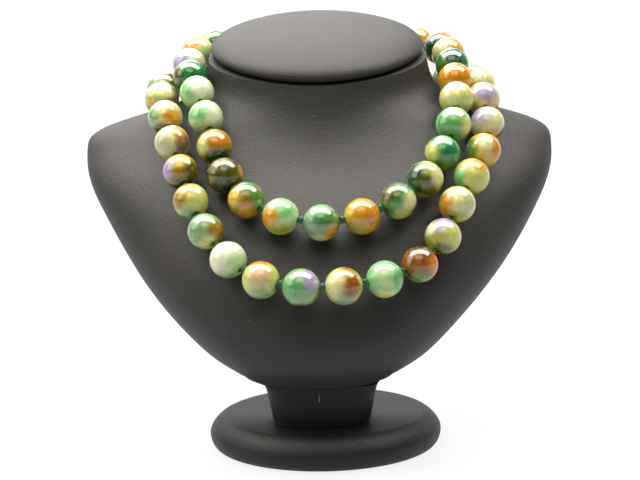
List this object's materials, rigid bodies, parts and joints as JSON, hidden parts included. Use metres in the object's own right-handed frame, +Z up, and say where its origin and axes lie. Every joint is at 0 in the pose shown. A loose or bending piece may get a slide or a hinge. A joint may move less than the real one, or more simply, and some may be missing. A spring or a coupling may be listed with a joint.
{
  "type": "beaded necklace on a neck bust",
  "caption": "Long rope of round mottled stone beads, knotted on silk and worn doubled, on a black leather-covered neck bust with a slanted cap, short stem and round base.",
  "frame": {"origin": "centre of the base's flat underside", "axes": "+Z up, the bust faces -Y, +X towards the right of the picture"},
  "size_m": [0.1924, 0.1643, 0.1702],
  "materials": {
    "leatherette": "satin",
    "stone_beads": "polished",
    "silk": "matte"
  },
  "bodies": {
    "root": {"base": "leatherette", "stem": "leatherette", "bust_body": "leatherette", "back_panel": "leatherette", "neck_cap": "leatherette", "inner_bead_01": "stone_beads", "inner_bead_02": "stone_beads", "inner_bead_03": "stone_beads", "inner_bead_04": "stone_beads", "inner_bead_05": "stone_beads", "inner_bead_06": "stone_beads", "inner_bead_07": "stone_beads", "inner_bead_08": "stone_beads", "inner_bead_09": "stone_beads", "inner_bead_10": "stone_beads", "inner_bead_11": "stone_beads", "inner_bead_12": "stone_beads", "inner_bead_13": "stone_beads", "inner_bead_14": "stone_beads", "inner_bead_15": "stone_beads", "inner_bead_16": "stone_beads", "inner_bead_17": "stone_beads", "inner_bead_18": "stone_beads", "inner_bead_19": "stone_beads", "inner_bead_20": "stone_beads", "outer_bead_01": "stone_beads", "outer_bead_02": "stone_beads", "outer_bead_03": "stone_beads", "outer_bead_04": "stone_beads", "outer_bead_05": "stone_beads", "outer_bead_06": "stone_beads", "outer_bead_07": "stone_beads", "outer_bead_08": "stone_beads", "outer_bead_09": "stone_beads", "outer_bead_10": "stone_beads", "outer_bead_11": "stone_beads", "outer_bead_12": "stone_beads", "outer_bead_13": "stone_beads", "outer_bead_14": "stone_beads", "outer_bead_15": "stone_beads", "outer_bead_16": "stone_beads", "outer_bead_17": "stone_beads", "outer_bead_18": "stone_beads", "outer_bead_19": "stone_beads", "outer_bead_20": "stone_beads", "inner_silk": "silk", "outer_silk": "silk", "rear_string_over": "stone_beads", "rear_string_under": "stone_beads"}
  },
  "joints": []
}
